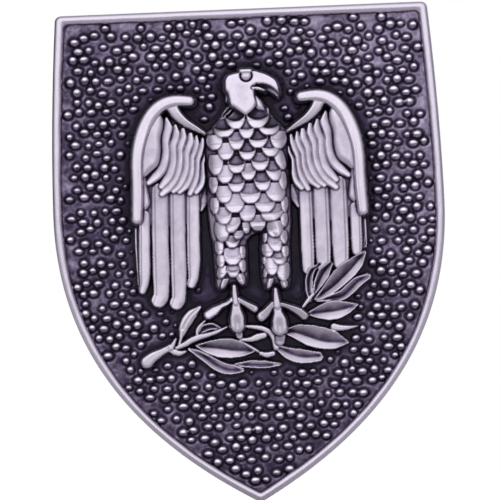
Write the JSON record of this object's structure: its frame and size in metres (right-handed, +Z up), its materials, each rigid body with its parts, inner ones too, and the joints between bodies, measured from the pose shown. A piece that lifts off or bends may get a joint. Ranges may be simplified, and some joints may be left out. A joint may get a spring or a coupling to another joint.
{
  "type": "cap badge",
  "caption": "Shield-shaped metal cap badge with an eagle on a laurel branch in relief, nail posts on the back and butterfly clutches.",
  "frame": {"origin": "middle of the blank tablet on the back of the plate, the face that lies against the cap cloth", "axes": "+Z up towards the straight top edge, +X to the right as the front is seen, the relief faces -Y and the posts point along +Y"},
  "size_m": [0.0392, 0.0129, 0.0493],
  "materials": {
    "field_silver": "oxidised antique silver, polished on its high points",
    "antique_silver": "antique silver, polished relief with dark recesses",
    "rivet_brass": "tarnished, peened heads",
    "post_nickel": "drawn nickel-plated wire",
    "solder": "dull soft solder",
    "clutch_brass": "pressed sheet, lightly lacquered",
    "spring_nickel": "nickel-plated spring strip"
  },
  "bodies": {
    "badge": {"shield_plate": "field_silver", "eagle": "antique_silver", "laurel_branch": "antique_silver", "eagle_rivet_upper": "rivet_brass", "eagle_rivet_lower": "rivet_brass", "laurel_rivet_left": "rivet_brass", "laurel_rivet_right": "rivet_brass", "post_left": "post_nickel", "post_right": "post_nickel", "solder_fillet_left": "solder", "solder_fillet_right": "solder"},
    "clutch_left": {"clutch_left_disc": "clutch_brass", "clutch_left_housing": "clutch_brass", "clutch_left_spring": "spring_nickel"},
    "clutch_left_outer": {"clutch_left_wing_outer": "spring_nickel"},
    "clutch_left_inner": {"clutch_left_wing_inner": "spring_nickel"},
    "clutch_right": {"clutch_right_disc": "clutch_brass", "clutch_right_housing": "clutch_brass", "clutch_right_spring": "spring_nickel"},
    "clutch_right_outer": {"clutch_right_wing_outer": "spring_nickel"},
    "clutch_right_inner": {"clutch_right_wing_inner": "spring_nickel"}
  },
  "joints": [
    {"name": "clutch_left_slide", "type": "slide", "parent": "badge", "child": "clutch_left", "axis": [0, 1, 0], "range_m": [-0.002, 0.0065]},
    {"name": "clutch_right_slide", "type": "slide", "parent": "badge", "child": "clutch_right", "axis": [0, 1, 0], "range_m": [-0.002, 0.0065]},
    {"name": "clutch_left_outer_squeeze", "type": "hinge", "parent": "clutch_left", "child": "clutch_left_outer", "pos_m": [-0.01135, 0.00435, 0.006], "axis": [0, 0, -1], "range_deg": [0, 10], "stiffness_Nm_per_rad": 0.0005},
    {"name": "clutch_left_inner_squeeze", "type": "hinge", "parent": "clutch_left", "child": "clutch_left_inner", "pos_m": [-0.00765, 0.00435, 0.006], "axis": [0, 0, 1], "range_deg": [0, 10]},
    {"name": "clutch_right_outer_squeeze", "type": "hinge", "parent": "clutch_right", "child": "clutch_right_outer", "pos_m": [0.01135, 0.00435, 0.006], "axis": [0, 0, 1], "range_deg": [0, 10], "stiffness_Nm_per_rad": 0.0005},
    {"name": "clutch_right_inner_squeeze", "type": "hinge", "parent": "clutch_right", "child": "clutch_right_inner", "pos_m": [0.00765, 0.00435, 0.006], "axis": [0, 0, -1], "range_deg": [0, 10]}
  ],
  "couplings": [
    {"joint": "clutch_left_inner_squeeze", "follows": "clutch_left_outer_squeeze", "ratio": 1},
    {"joint": "clutch_right_inner_squeeze", "follows": "clutch_right_outer_squeeze", "ratio": 1}
  ]
}
